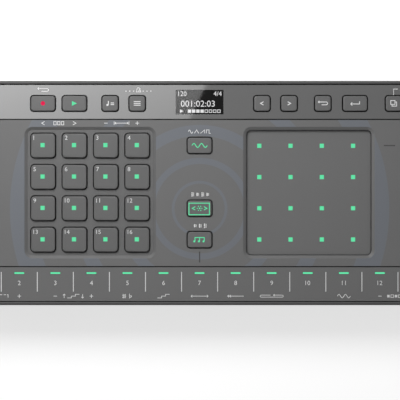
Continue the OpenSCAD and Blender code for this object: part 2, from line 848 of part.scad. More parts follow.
module key_light_pipes() color("#63e6a8") {
    key_bars(led_top + led_gap, key_top, 0);
}

// Light squares of the touch plate, grown by a gap for their holes
module light_squares(low, high, gap) {
    for (i = [0:pad_count - 1])
        translate(light_at(i))
            block(light_w + 2 * gap, light_w + 2 * gap, low, high);
}

module touch_light_pipes() color("#63e6a8") {
    light_squares(led_top + led_gap, touch_top, 0);
}

module touch_plate() color("#68696b") {
    difference() {
        translate([dish_x, dish_y])
            plate(touch_w, touch_w, dish_corner - touch_gap, touch_low, touch_top);
        light_squares(touch_low - cut, touch_top + cut, pipe_gap);
    }
}

// Display

module display_module() color("#101114") {
    translate([0, glass_y]) {
        block(glass_w, glass_d, glass_low, deck_top);
        block(glass_w, carrier_d, deck_low - cut, glass_low + cut);
        block(carrier_w, carrier_d, carrier_low, deck_low);
    }
}

// Ribbon that leaves the carrier, bends down and lies on the control board
module display_flex() color("#b5782f") {
    drop = carrier_low - board_top;
    translate([-flex_w / 2, flex_y, board_top])
        rotate([90, 0, 90])
            linear_extrude(flex_w) {
                translate([flex_r, drop - flex_r])
                    quarter_ring();
                translate([0, flex_r])
                    square([flex_t, drop - 2 * flex_r]);
                translate([flex_t - flex_r, flex_r])
                    rotate(180)
                        quarter_ring();
                translate([flex_r, drop - flex_t])
                    square([flex_tail, flex_t]);
                translate([flex_t - flex_r - flex_tail, 0])
                    square([flex_tail, flex_t]);
            }
}

// Quarter of a flat ring, from its left side to its top
module quarter_ring() {
    intersection() {
        difference() {
            circle(flex_r);
            circle(flex_r - flex_t);
        }
        translate([-2 * flex_r, 0])
            square(2 * flex_r);
    }
}

// Boards

module control_board() color("#1d4a33") {
    difference() {
        plate(inner_w - 2 * board_gap, inner_d - 2 * board_gap, inner_r - board_gap, board_low, board_top);
        for (p = MID_POSTS)
            translate(p)
                bar(board_hole_r, board_low - cut, board_top + cut);
        for (p = SIDE_POSTS)
            translate([sign(p[0]) * inner_w / 2, p[1]])
                block(notch_w, 2 * board_hole_r, board_low - cut, board_top + cut);
        for (p = FRONT_POSTS)
            translate([sign(p[0]) * inner_w / 2, -inner_d / 2])
                block(notch_w, notch_d, board_low - cut, board_top + cut);
        for (p = STANDOFFS)
            translate(p)
                bar(board_screw_r + screw_gap, board_low - cut, board_top + cut);
    }
}

module touch_board() color("#1d4a33") {
    difference() {
        translate([dish_x, dish_y])
            plate(touch_open - 2 * sensor_gap, touch_open - 2 * sensor_gap, dish_corner - sensor_gap,
                touch_board_low, touch_low);
        light_squares(touch_board_low - cut, touch_low + cut, sensor_gap);
    }
}

module key_board() color("#1d4a33") {
    difference() {
        translate([0, -strip_y])
            block(key_open_w - 2 * sensor_gap, key_open_d - 2 * sensor_gap, sensor_low, deck_top);
        key_bars(sensor_low - cut, deck_top + cut, sensor_gap);
    }
}

module pad_domes() color("#d8d8d2") {
    difference() {
        union() {
            translate([-dish_x, dish_y])
                plate(pad_span + pad_size, pad_span + pad_size, pad_corner, board_top, board_top + rubber_t);
            for (i = [0:pad_count - 1])
                translate(pad_at(i))
                    dome_outside();
        }
        for (i = [0:pad_count - 1])
            translate(pad_at(i))
                dome_inside();
    }
}

module button_domes() color("#d8d8d2") {
    for (b = BUTTONS)
        translate([b[1], b[2]])
            difference() {
                union() {
                    plate(dome_base_w, dome_base_w, button_corner, board_top, board_top + rubber_t);
                    dome_outside();
                }
                dome_inside();
            }
}

module board_leds() color("#e8f5ec") {
    for (i = [0:pad_count - 1]) {
        translate(pad_at(i))
            block(led_w, led_w, board_top, led_top);
        translate(light_at(i))
            block(led_w, led_w, board_top, led_top);
    }
    for (i = [0:key_count - 1])
        translate([key_x(i), key_bar_y])
            block(led_w, led_w, board_top, led_top);
    for (b = BUTTONS)
        translate([b[1], b[2]])
            block(led_w, led_w, board_top, led_top);
}

// Chips in the bays between the lights, and the headers that carry the sensor boards' lines
module board_components() color("#26272a") {
    translate([dish_x + light_shift, dish_y]) {
        block(chip_w, chip_w, board_top, board_top + chip_h);
        for (bay = [[1, 0], [1, -1], [0, 1]])
            translate(pad_pitch * bay)
                block(small_chip_w, small_chip_w, board_top, board_top + chip_h);
        translate([-pad_pitch, 0])
            block(header_w, header_l, board_top, touch_board_low);
    }
    translate([key_pitch / 2, -strip_y])
        block(header_l, header_w, board_top, sensor_low);
}

// Rear sockets

module usb_port() color("#b9bcc0") {
    inside_w = usb_w - 2 * usb_t;
    inside_h = usb_h - 2 * usb_t;
    tongue_w = inside_w - inside_h / 2;
    translate([usb_x, usb_face, usb_z])
        rotate([90, 0, 0]) {
            difference() {
                plate(usb_w, usb_h, usb_h / 2 - pipe_gap, 0, usb_l);
                plate(inside_w, inside_h, inside_h / 2 - pipe_gap, -cut, usb_l - usb_back_t);
            }
            block(tongue_w, usb_tongue_t, usb_back_t, usb_l - usb_back_t / 2);
        }
}

module midi_jacks() color("#202123") {
    for (x = [midi_in_x, midi_out_x])
        translate([x, 0])
            jack();
}

module phones_jack() color("#202123") {
    translate([phones_x, 0])
        jack();
}

module power_switch() color("#c4c6c8") {
    translate([power_x, switch_face, switch_z])
        difference() {
            translate([0, -switch_d / 2, 0])
                cube([switch_w, switch_d, switch_h], center = true);
            cube([slider_slot_w, 2 * (slider_tail + slider_gap), slider_h + 2 * slider_gap], center = true);
        }
}

// Slider at its off stop
module power_slider() color("#1b1b1c") {
    length = body_d / 2 - slider_setback - switch_face + slider_tail;
    translate([power_x - power_travel / 2, switch_face - slider_tail + length / 2, switch_z])
        cube([slider_w, length, slider_h], center = true);
}

module volume_pot() color("#3a3b3d") {
    translate([wheel_x, wheel_y]) {
        block(pot_w, pot_w, board_low - pot_t, board_low);
        bar(shaft_r, wheel_low - wheel_gap, board_low - pot_t + cut);
        bar(shaft_r + clip_lip, wheel_low - wheel_gap - clip_t, wheel_low - wheel_gap);
    }
}

module volume_wheel() color("#1b1b1c") {
    translate([wheel_x, wheel_y])
        difference() {
            bar(wheel_r, wheel_low, wheel_top);
            bar(shaft_r + shaft_gap, wheel_low - cut, wheel_top + cut);
            for (i = [0:knurl_count - 1])
                rotate(i * 360 / knurl_count)
                    translate([wheel_r, 0])
                        bar(knurl_r, wheel_low - cut, wheel_top + cut);
        }
}

// Pads and buttons

module pad(i) color("#6f7072") {
    translate(pad_at(i))
        cap(pad_size, pad_size, pad_corner, dish_z + pad_rise);
}

module button(b) color("#737476") {
    translate([b[1], b[2]])
        cap(b[3], b[4], button_corner, face_z + button_rise);
}

lower_case();
upper_case();
deck_plate();
main_panel();
control_strip();
display_window();
key_strip();
touch_plate();
touch_light_pipes();
key_light_pipes();
display_module();
display_flex();
control_board();
touch_board();
key_board();
pad_domes();
button_domes();
board_components();
board_leds();
usb_port();
midi_jacks();
phones_jack();
power_switch();
power_slider();
volume_pot();
volume_wheel();
rubber_feet();
case_screws();
board_screws();
for (i = [0:pad_count - 1]) pad(i);
for (b = BUTTONS) button(b);
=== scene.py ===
import math

import bmesh
import bpy
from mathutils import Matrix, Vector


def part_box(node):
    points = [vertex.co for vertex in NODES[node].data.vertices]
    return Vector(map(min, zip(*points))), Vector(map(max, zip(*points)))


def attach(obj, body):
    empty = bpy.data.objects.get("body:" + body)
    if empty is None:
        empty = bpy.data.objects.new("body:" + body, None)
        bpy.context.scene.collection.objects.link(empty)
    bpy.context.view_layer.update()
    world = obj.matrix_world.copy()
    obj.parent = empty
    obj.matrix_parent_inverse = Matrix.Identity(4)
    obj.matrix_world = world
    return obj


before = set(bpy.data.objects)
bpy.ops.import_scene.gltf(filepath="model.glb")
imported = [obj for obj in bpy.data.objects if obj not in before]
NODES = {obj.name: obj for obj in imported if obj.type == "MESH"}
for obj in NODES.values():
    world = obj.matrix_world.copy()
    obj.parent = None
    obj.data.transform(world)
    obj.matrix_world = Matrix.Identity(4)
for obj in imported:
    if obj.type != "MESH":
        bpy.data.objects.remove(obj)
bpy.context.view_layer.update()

# Looks of the desk controller. Lengths on the object are in millimetres, lengths of the stage in metres.
MM = 0.001
CHASSIS = "chassis"

# Heights of faces and of the lines where a finish changes
FACE_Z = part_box("main_panel")[1].z / MM
KEY_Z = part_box("key_strip")[1].z / MM
WINDOW_LOW_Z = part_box("display_window")[0].z / MM
SEAM_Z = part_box("upper_case")[0].z / MM
TOUCH_LOW_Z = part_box("touch_plate")[0].z / MM
# How far below the face a point still counts as lying on it
FACE_MARGIN = 0.05

# Counts, and the pitch of the touch keys
KEY_COUNT = 13
KEY_PITCH = 18.0
PAD_COUNT = 16
STEP_COUNT = 8


# Node helpers

def set_sockets(node, values):
    """Plain values on named sockets of a node."""
    for name, value in values.items():
        node.inputs[name].default_value = value


def add_node(tree, kind, sockets=None, **settings):
    """Node with settings and with values on named sockets."""
    made = tree.nodes.new(kind)
    for name, value in settings.items():
        setattr(made, name, value)
    set_sockets(made, sockets or {})
    return made


def math_node(tree, operation, first, second=0.0):
    """Result of an operation on one or two numbers, each a socket or a plain value."""
    made = add_node(tree, "ShaderNodeMath", operation=operation)
    for slot, value in enumerate((first, second)):
        if isinstance(value, (int, float)):
            made.inputs[slot].default_value = value
        else:
            tree.links.new(value, made.inputs[slot])
    return made.outputs[0]


def distance_from(tree, value, middle):
    """How far a value lies from a middle one."""
    return math_node(tree, "ABSOLUTE", math_node(tree, "SUBTRACT", value, middle))


def map_range(tree, value, given, wanted, smooth=False):
    """Value mapped from a given range to a wanted one, held at the ends."""
    made = add_node(tree, "ShaderNodeMapRange", interpolation_type="SMOOTHSTEP" if smooth else "LINEAR")
    set_sockets(made, {
        "From Min": given[0], "From Max": given[1], "To Min": wanted[0], "To Max": wanted[1]
    })
    tree.links.new(value, made.inputs["Value"])
    return made.outputs["Result"]


def split(tree, vector):
    """Outputs X, Y and Z of a vector."""
    parts = add_node(tree, "ShaderNodeSeparateXYZ")
    tree.links.new(vector, parts.inputs["Vector"])
    return parts.outputs


def object_place(tree):
    """Place in the object's own space, as outputs X, Y and Z."""
    return split(tree, add_node(tree, "ShaderNodeTexCoord").outputs["Object"])


def noise(tree, grain, detail=2.0):
    """Noise in the object's own space, with a grain of so many millimetres."""
    place = add_node(tree, "ShaderNodeTexCoord")
    made = add_node(tree, "ShaderNodeTexNoise", {"Scale": 1.0 / (grain * MM), "Detail": detail})
    tree.links.new(place.outputs["Object"], made.inputs["Vector"])
    return made.outputs["Fac"]


def mix_colour(tree, factor, first, second):
    """Colour between two colours, each a socket or plain numbers."""
    made = add_node(tree, "ShaderNodeMix", data_type="RGBA")
    tree.links.new(factor, made.inputs["Factor"])
    for name, value in (("A", first), ("B", second)):
        socket = next(entry for entry in made.inputs if entry.name == name and entry.type == "RGBA")
        if isinstance(value, tuple):
            socket.default_value = (*value, 1.0)
        else:
            tree.links.new(value, socket)
    return next(entry for entry in made.outputs if entry.type == "RGBA")


# Share of a face's direction that is up or down: upright faces have less, level ones more
UPRIGHT_RANGE = (0.1, 0.35)


def upright_faces(tree):
    """Mask that is 1 on upright faces and 0 on level ones."""
    face = add_node(tree, "ShaderNodeNewGeometry")
    level = math_node(tree, "ABSOLUTE", split(tree, face.outputs["True Normal"])["Z"])
    return map_range(tree, level, UPRIGHT_RANGE, (1.0, 0.0))


def inward_faces(tree):
    """Mask that is 1 on upright faces that look towards the middle of the object."""
    face = add_node(tree, "ShaderNodeNewGeometry")
    outward = add_node(tree, "ShaderNodeVectorMath", operation="DOT_PRODUCT")
    tree.links.new(face.outputs["True Normal"], outward.inputs[0])
    tree.links.new(face.outputs["Position"], outward.inputs[1])
    inward = math_node(tree, "LESS_THAN", outward.outputs["Value"], 0.0)
    return math_node(tree, "MULTIPLY", inward, upright_faces(tree))


def seen_directly(tree):
    """Mask that is 1 for rays from the camera, from a gloss or through a clear piece."""
    path = add_node(tree, "ShaderNodeLightPath")
    seen = 0.0
    for ray in ("Is Camera Ray", "Is Glossy Ray", "Is Transmission Ray"):
        seen = math_node(tree, "MAXIMUM", path.outputs[ray], seen)
    return seen


# Colours

def grey(level):
    """Grey of some level."""
    return (level, level, level)


def shade(colour, factor):
    """Colour made lighter or darker."""
    return tuple(min(1.0, channel * factor) for channel in colour)


CASE = grey(0.091)
PANEL = grey(0.1375)
RING_BLUE = (0.1465, 0.158, 0.1775)
STRIP = grey(0.162)
KEY_GREY = grey(0.133)
TOUCH = grey(0.1375)
BUTTON = grey(0.117)
PAD = grey(0.11)
DECK = grey(0.01)
# Painted light: a pale tone on the black deck's ledge round the touch plate, so the crease there looks lit
PAINTED_LEDGE_LIGHT = grey(0.3)
SCREEN = (0.055, 0.055, 0.056)
WINDOW_TINTS = ((0.55, 0.55, 0.56), (0.58, 0.58, 0.59))
GREEN = (0.13, 0.8, 0.4)
RED = (0.82, 0.006, 0.078)
FIGURE_WHITE = grey(0.86)
WHITE_INK = grey(0.8)
DARK_INK = grey(0.045)
FLOOR_TONES = (grey(0.62), grey(0.65))
WHITE = (1.0, 1.0, 1.0, 1.0)
BLACK = (0.0, 0.0, 0.0, 1.0)

# Painted shade on gap sides, dish walls and dish floors, the case's dark seam, and the screen's black edge,
# as shares of the face's own tone
GAP_SHADE_AND_SEAM_TONE = 0.2
DISH_WALL_SHADE = 0.45
RECESS_SHADE = 0.86
EDGE_TONE = 0.1

# Strength of lit windows, bars, marks and figures
GREEN_GLOW = 0.94
BAR_GLOW = 1.05
RED_GLOW = 0.9
FIGURE_GLOW = 1.2


# Materials

# Roughness that the plastics of the face share
FACE_ROUGHNESS = 0.55
# Range and detail of the noise that makes the grain, the spread of roughness and the strength of the relief
GRAIN_RANGE = (0.3, 0.7)
GRAIN_DETAIL = 3.0
ROUGHNESS_SPREAD = 0.1
RELIEF_STRENGTH = 0.5


def start_material(name, sockets=None):
    """New material with values on its main shader, its node tree and that shader."""
    material = bpy.data.materials.new(name)
    material.use_nodes = True
    shader = material.node_tree.nodes["Principled BSDF"]
    set_sockets(shader, sockets or {})
    return material, material.node_tree, shader


def paint_over(material, mask, colour):
    """Another colour over a material's own, where a mask is 1."""
    tree = material.node_tree
    base = tree.nodes["Principled BSDF"].inputs["Base Color"]
    plain = base.links[0].from_socket
    tree.links.new(mix_colour(tree, mask, plain, colour), base)


def moulded(name, colour, roughness, grain=0.35, relief=0.004, drift=0.03, drift_size=25.0,
            side=1.0, side_mask=upright_faces, sockets=None):
    """Moulded surface: slow drift of tone, fine grain in height and roughness, and painted shade on the
    sides.

    Grain, relief and the size of the drift are in millimetres, drift and side are shares of the colour; side
    is the painted shade on the faces that side_mask picks out.
    """
    material, tree, shader = start_material(name, sockets)
    tone = mix_colour(tree, noise(tree, drift_size), shade(colour, 1 - drift), shade(colour, 1 + drift))
    tree.links.new(tone, shader.inputs["Base Color"])
    # Painted shade: the sides are darkened to stand in for the shade in gaps and on dish walls
    if side < 1.0:
        paint_over(material, side_mask(tree), shade(colour, side))
    fine = noise(tree, grain, GRAIN_DETAIL)
    ends = (roughness * (1 - ROUGHNESS_SPREAD), roughness * (1 + ROUGHNESS_SPREAD))
    tree.links.new(map_range(tree, fine, GRAIN_RANGE, ends), shader.inputs["Roughness"])
    if relief:
        bump = add_node(tree, "ShaderNodeBump", {"Strength": RELIEF_STRENGTH, "Distance": relief * MM})
        tree.links.new(fine, bump.inputs["Height"])
        tree.links.new(bump.outputs["Normal"], shader.inputs["Normal"])
    return material


# Cloud of a diffuser, and the little of its colour that shows by other light, as shares of the colour
GLOW_CLOUD = (0.94, 1.06)
UNLIT_CLOUD = (0.02, 0.03)


def lit(name, colour, strength, grain=0.4):
    """Lit window or lit print: a glow with a slight cloud of the diffuser."""
    material, tree, shader = start_material(name, {
        "Roughness": 0.4, "Specular IOR Level": 0.1, "Emission Strength": strength
    })
    cloud = noise(tree, grain)
    for socket, (low, high) in (("Emission Color", GLOW_CLOUD), ("Base Color", UNLIT_CLOUD)):
        tone = mix_colour(tree, cloud, shade(colour, low), shade(colour, high))
        tree.links.new(tone, shader.inputs[socket])
    return material


# Rings printed on the panel: their middle, and the inner and outer radius of each
RING_CENTRE_Y = -7.8
RING_BANDS = ((12.5, 13.9), (22.3, 25.4), (36.3, 41.8), (56.0, 63.1), (81.9, 94.6))
# Depth below the face at which the floor of a dish begins, and with it the painted shade of the dish floors
RECESS_DEPTH = 0.9


def ringed_panel(name):
    """Matt panel with wide rings printed on its top face, round the middle column, and painted shade on its
    dish walls and dish floors.
    """
    # Painted shade on the upright walls of dishes and openings
    material = moulded(name, PANEL, FACE_ROUGHNESS, side=DISH_WALL_SHADE)
    tree = material.node_tree
    place = object_place(tree)
    flat = add_node(tree, "ShaderNodeCombineXYZ")
    tree.links.new(place["X"], flat.inputs["X"])
    tree.links.new(place["Y"], flat.inputs["Y"])
    radius = add_node(tree, "ShaderNodeVectorMath", operation="DISTANCE")
    radius.inputs[1].default_value = (0.0, RING_CENTRE_Y * MM, 0.0)
    tree.links.new(flat.outputs["Vector"], radius.inputs[0])
    printed = 0.0
    for inner, outer in RING_BANDS:
        away = distance_from(tree, radius.outputs["Value"], (inner + outer) / 2 * MM)
        band = math_node(tree, "LESS_THAN", away, (outer - inner) / 2 * MM)
        printed = math_node(tree, "MAXIMUM", band, printed)
    top = math_node(tree, "GREATER_THAN", place["Z"], (FACE_Z - FACE_MARGIN) * MM)
    paint_over(material, math_node(tree, "MULTIPLY", printed, top), RING_BLUE)
    # Painted shade: the dish floors are darker, as if in the shade of the recess
    floor_shade = math_node(tree, "LESS_THAN", place["Z"], (FACE_Z - RECESS_DEPTH) * MM)
    paint_over(material, floor_shade, shade(PANEL, RECESS_SHADE))
    return material


# Width of the hairline between the case halves
SEAM_W = 0.25


def case_shell(name):
    """Satin case with a dark hairline where its two halves meet, and painted shade on the inner walls of its
    rim.
    """
    # Painted shade on the rim's inner walls, which face the gaps round the panels
    material = moulded(name, CASE, roughness=0.6, grain=0.3, side=GAP_SHADE_AND_SEAM_TONE, side_mask=inward_faces,
                       sockets={"Specular IOR Level": 0.3})
    tree = material.node_tree
    away = distance_from(tree, object_place(tree)["Z"], SEAM_Z * MM)
    seam = math_node(tree, "LESS_THAN", away, SEAM_W / 2 * MM)
    paint_over(material, seam, shade(CASE, GAP_SHADE_AND_SEAM_TONE))
    return material


def gloss_face(name):
    """Glossy strip: an even tone under a clear coat, with painted shade on its sides in the gaps."""
    coat = {"Coat Weight": 1.0, "Coat Roughness": 0.03, "Specular IOR Level": 0.0}
    # Painted shade on the strip's sides, where they face the gaps
    return moulded(name, STRIP, roughness=0.5, grain=0.5, relief=0.0, drift=0.015, side=GAP_SHADE_AND_SEAM_TONE,
                   sockets=coat)


# The painted light covers the deck up to this far above the underside of the touch plate, where the ledge
# lies
LEDGE_REACH = 0.3


def deck_face(name):
    """Black deck, with painted light from the ledge down, which shows round the touch plate."""
    material = moulded(name, DECK, roughness=0.6)
    tree = material.node_tree
    # Painted light on the deck below the touch plate's underside
    lit_ledge_mask = math_node(tree, "LESS_THAN", object_place(tree)["Z"], (TOUCH_LOW_Z + LEDGE_REACH) * MM)
    paint_over(material, lit_ledge_mask, PAINTED_LEDGE_LIGHT)
    return material


def display_face(name):
    """Display: a grey screen behind the window, black in front of the window and at its rear."""
    material = moulded(name, SCREEN, roughness=0.4, grain=3.0, relief=0.0)
    tree = material.node_tree
    low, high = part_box("display_window")
    away = distance_from(tree, object_place(tree)["Y"], (low.y + high.y) / 2)
    outside = math_node(tree, "GREATER_THAN", away, (high.y - low.y) / 2)
    paint_over(material, outside, shade(SCREEN, EDGE_TONE))
    return material


# Size of the slow cloud in the window's tint
WINDOW_CLOUD = 20.0


def clear_window(name):
    """Smoked clear window over the display."""
    material, tree, shader = start_material(name, {
        "Transmission Weight": 1.0, "IOR": 1.42, "Roughness": 0.02
    })
    tint = mix_colour(tree, noise(tree, WINDOW_CLOUD), *WINDOW_TINTS)
    tree.links.new(tint, shader.inputs["Base Color"])
    return material


def green_windows(name):
    """Lit windows of the touch plate."""
    return lit(name, GREEN, GREEN_GLOW)


# Width and depth of the lit bar of a key
BAR_W = 5.0
BAR_D = 0.86


def lit_bars(name):
    """Light pipes of the keys: dark tops with a lit bar that has round ends."""
    material = lit(name, GREEN, BAR_GLOW)
    tree = material.node_tree
    place = object_place(tree)
    low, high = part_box("key_light_pipes")
    pitch = KEY_PITCH * MM
    turn = math_node(tree, "FLOORED_MODULO", math_node(tree, "ADD", place["X"], pitch / 2), pitch)
    past = math_node(tree, "SUBTRACT", distance_from(tree, turn, pitch / 2), (BAR_W - BAR_D) / 2 * MM)
    reach = add_node(tree, "ShaderNodeCombineXYZ")
    tree.links.new(math_node(tree, "MAXIMUM", past, 0.0), reach.inputs["X"])
    tree.links.new(math_node(tree, "SUBTRACT", place["Y"], (low.y + high.y) / 2), reach.inputs["Y"])
    away = add_node(tree, "ShaderNodeVectorMath", operation="LENGTH")
    tree.links.new(reach.outputs["Vector"], away.inputs[0])
    inside = math_node(tree, "LESS_THAN", away.outputs["Value"], BAR_D / 2 * MM)
    strength = tree.nodes["Principled BSDF"].inputs["Emission Strength"]
    tree.links.new(math_node(tree, "MULTIPLY", inside, BAR_GLOW), strength)
    paint_over(material, math_node(tree, "SUBTRACT", 1.0, inside), KEY_GREY)
    return material


METAL = {"Metallic": 1.0}

# Finishes that need no more than a moulded surface, by material slot
PLAIN_FINISHES = {
    # The key strip and the caps get painted shade on their sides, where they face the gaps
    "key_plastic": dict(colour=KEY_GREY, roughness=FACE_ROUGHNESS, side=GAP_SHADE_AND_SEAM_TONE),
    "touch_plastic": dict(colour=TOUCH, roughness=FACE_ROUGHNESS, grain=0.25),
    "cap_plastic": dict(colour=BUTTON, roughness=FACE_ROUGHNESS, grain=0.25, side=GAP_SHADE_AND_SEAM_TONE),
    "flex_film": dict(colour=(0.45, 0.2, 0.03), roughness=0.3, grain=1.0, relief=0.001),
    "circuit_board": dict(colour=(0.02, 0.09, 0.05), roughness=0.35, grain=0.8, relief=0.002,
                          drift=0.12, drift_size=4.0),
    "dome_rubber": dict(colour=(0.6, 0.6, 0.56), roughness=0.6, grain=0.2),
    "chip_plastic": dict(colour=(0.02, 0.02, 0.022), roughness=0.5, grain=0.15),
    "diode_plastic": dict(colour=(0.7, 0.8, 0.72), roughness=0.3, grain=0.5, relief=0.001),
    "socket_steel": dict(colour=(0.55, 0.56, 0.58), roughness=0.3, grain=0.2, relief=0.001, sockets=METAL),
    "black_steel": dict(colour=(0.05, 0.05, 0.052), roughness=0.45, grain=0.2, relief=0.002, sockets=METAL),
    "control_plastic": dict(colour=(0.02, 0.02, 0.021), roughness=0.5, grain=0.2, relief=0.006),
    "foot_rubber": dict(colour=(0.015, 0.015, 0.016), roughness=0.8, grain=0.3, relief=0.02)
}
SPECIAL_FINISHES = {
    "case_plastic": case_shell,
    "panel_plastic": ringed_panel,
    "gloss_strip": gloss_face,
    "window_lens": clear_window,
    "light_pipe": green_windows,
    "display_glass": display_face,
    "deck_plastic": deck_face
}
MATERIALS = {slot: moulded(slot, **finish) for slot, finish in PLAIN_FINISHES.items()}
MATERIALS.update({slot: make(slot) for slot, make in SPECIAL_FINISHES.items()})

INK_WHITE = moulded("white_ink", WHITE_INK, roughness=0.6, grain=0.15, relief=0.002)
INK_DARK = moulded("dark_ink", DARK_INK, roughness=0.6, grain=0.15, relief=0.002)
LIT_GREEN = lit("lit_green", GREEN, GREEN_GLOW)
LIT_RED = lit("lit_red", RED, RED_GLOW)
LIT_WHITE = lit("lit_white", FIGURE_WHITE, FIGURE_GLOW, grain=0.2)

# Parts whose finish differs from the rest of their slot
KEY_BARS = lit_bars("key_bars")
# Pads get the same painted shade on their sides
PAD_TOPS = moulded("pad_plastic", PAD, FACE_ROUGHNESS, grain=0.25, side=GAP_SHADE_AND_SEAM_TONE)
OWN_FINISH = {"key_light_pipes": KEY_BARS, **{f"pad_{i + 1}": PAD_TOPS for i in range(PAD_COUNT)}}


# Drawing helpers: shapes are lists of points in millimetres round a sign's own middle

# Height of a print or a lit window above the face that carries it
INK = 0.03
# Step in height between shapes of one sign, so that their tops never lie in one plane
INK_STEP = 0.006
INK_LAYERS = 3
# Widths of printed lines
THIN = 0.3
BOLD = 0.42
# Corners of a dot, points in a turn of a wave, and steps in a curve of a figure
DOT_CORNERS = 16
WAVE_POINTS = 12
FIGURE_STEPS = 3
# Least cosine at a mitred corner, so that a sharp one doesn't reach far out
MITRE_LEAST = 0.5


def line(*points):
    """Open line."""
    return ("line", list(points), False)


def loop(*points):
    """Closed line."""
    return ("line", list(points), True)


def fill(*points):
    """Filled outline."""
    return ("fill", list(points), True)


def arc_points(x, y, radius, start, end, steps):
    """Points along an arc, angles in degrees."""
    angles = [math.radians(start + (end - start) * i / steps) for i in range(steps + 1)]
    return [(x + radius * math.cos(angle), y + radius * math.sin(angle)) for angle in angles]


def dot(x, y, radius):
    """Filled dot."""
    return fill(*arc_points(x, y, radius, 0, 360 - 360 / DOT_CORNERS, DOT_CORNERS - 1))


def box(x, y, width, height):
    """Corners of a rectangle round a point."""
    left, right = x - width / 2, x + width / 2
    low, high = y - height / 2, y + height / 2
    return [(left, low), (right, low), (right, high), (left, high)]


def arrow_head(x, y, along, size=0.6):
    """Open arrow head with its tip at x, y, pointing left (-1) or right (1)."""
    return line((x - along * size, y + size), (x, y), (x - along * size, y - size))


def shifted(shapes, x, y):
    """Shapes moved across the face."""
    moved = []
    for kind, points, closed in shapes:
        moved.append((kind, [(point_x + x, point_y + y) for point_x, point_y in points], closed))
    return moved


def left_of(start, end):
    """Step of length 1 to the left of the way from one point to another."""
    across = end[0] - start[0]
    along = end[1] - start[1]
    length = math.hypot(across, along)
    return -along / length, across / length


def side_points(points, width, closed):
    """Left and right edge of a line of some width, with mitred corners."""
    count = len(points)
    left, right = [], []
    for i, (x, y) in enumerate(points):
        normals = []
        if closed or i > 0:
            normals.append(left_of(points[i - 1], points[i]))
        if closed or i < count - 1:
            normals.append(left_of(points[i], points[(i + 1) % count]))
        across = sum(normal[0] for normal in normals)
        along = sum(normal[1] for normal in normals)
        size = math.hypot(across, along)
        across, along = across / size, along / size
        cosine = across * normals[0][0] + along * normals[0][1]
        half = width / 2 / max(MITRE_LEAST, cosine)
        left.append((x + across * half, y + along * half))
        right.append((x - across * half, y - along * half))
    return left, right


def add_prism(mesh, outline, low, high):
    """Flat solid over an outline."""
    below = [mesh.verts.new((x * MM, y * MM, low * MM)) for x, y in outline]
    above = [mesh.verts.new((x * MM, y * MM, high * MM)) for x, y in outline]
    mesh.faces.new(above)
    mesh.faces.new(list(reversed(below)))
    for i in range(len(outline)):
        j = (i + 1) % len(outline)
        mesh.faces.new((below[i], below[j], above[j], above[i]))


def add_line(mesh, points, closed, width, low, high):
    """Flat solid along a line."""
    left, right = side_points(points, width, closed)
    spans = len(points) if closed else len(points) - 1
    for i in range(spans):
        j = (i + 1) % len(points)
        add_prism(mesh, [right[i], right[j], left[j], left[i]], low, high)


def add_shapes(mesh, shapes, width, low, high):
    """All shapes of a sign as flat solids."""
    for i, (kind, points, closed) in enumerate(shapes):
        top = high + i % INK_LAYERS * INK_STEP
        if kind == "fill":
            add_prism(mesh, points, low, top)
        else:
            add_line(mesh, points, closed, width, low, top)


def add_object(name, data):
    """Object in the scene for a mesh, a curve, a lamp or a camera."""
    made = bpy.data.objects.new(name, data)
    bpy.context.scene.collection.objects.link(made)
    return made


def mesh_data(name, mesh, material):
    """Object data from a built mesh, which is then freed, with its material."""
    data = bpy.data.meshes.new(name)
    mesh.to_mesh(data)
    mesh.free()
    data.materials.append(material)
    return data


def flat_figures(text):
    """Flat mesh of plain figures."""
    curve = bpy.data.curves.new("figures", "FONT")
    curve.body = text
    curve.align_x = "CENTER"
    curve.resolution_u = FIGURE_STEPS
    holder = add_object("figures", curve)
    graph = bpy.context.evaluated_depsgraph_get()
    flat = bpy.data.meshes.new_from_object(holder.evaluated_get(graph))
    bpy.data.objects.remove(holder)
    return flat


def add_number(mesh, text, x, y, height, low, high, centred=True):
    """Plain figures of a given height, centred on a point or starting at it."""
    flat = flat_figures(text)
    places_x = [point.co.x for point in flat.vertices]
    places_y = [point.co.y for point in flat.vertices]
    bottom = min(places_y)
    scale = height / (max(places_y) - bottom)
    start = min(places_x)
    if centred:
        start = (start + max(places_x)) / 2
    for point in flat.vertices:
        point_x = x + (point.co.x - start) * scale
        point_y = y + (point.co.y - bottom) * scale - height / 2
        point.co = (point_x * MM, point_y * MM, high * MM)
    before = set(mesh.faces)
    mesh.from_mesh(flat)
    bpy.data.meshes.remove(flat)
    new_faces = [face for face in mesh.faces if face not in before]
    grown = bmesh.ops.extrude_face_region(mesh, geom=new_faces)
    for part in grown["geom"]:
        if isinstance(part, bmesh.types.BMVert):
            part.co.z = low * MM


def add_piece(name, mesh, body, material):
    """Mesh as a piece that rides on a body."""
    bmesh.ops.recalc_face_normals(mesh, faces=mesh.faces)
    piece = add_object(name, mesh_data(name, mesh, material))
    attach(piece, body)


def centre_of(node):
    """Middle of a node across and along, and its top, in millimetres."""
    low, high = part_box(node)
    return (low.x + high.x) / 2 / MM, (low.y + high.y) / 2 / MM, high.z / MM


# Signs

def chevron(along):
    """Arrow tip that points left (-1) or right (1)."""
    return [line((-along * 0.75, 0.85), (along * 0.75, 0.0), (-along * 0.75, -0.85))]


def minus():
    """Minus."""
    return [line((-0.85, 0), (0.85, 0))]


def plus():
    """Plus."""
    return [line((-0.9, 0), (0.9, 0)), line((0, -0.9), (0, 0.9))]


def play_mark(left, right, half):
    """Filled triangle that points right."""
    return [fill((left, -half), (right, 0.0), (left, half))]


def return_arrow(width):
    """Arrow that turns back to the left."""
    half = width / 2
    bend = arc_points(half - 0.7, 0, 0.7, -90, 90, 8)
    return [line((-half * 0.3, -0.7), *bend, (-half, 0.7)), arrow_head(-half, 0.7, -1, 0.55)]


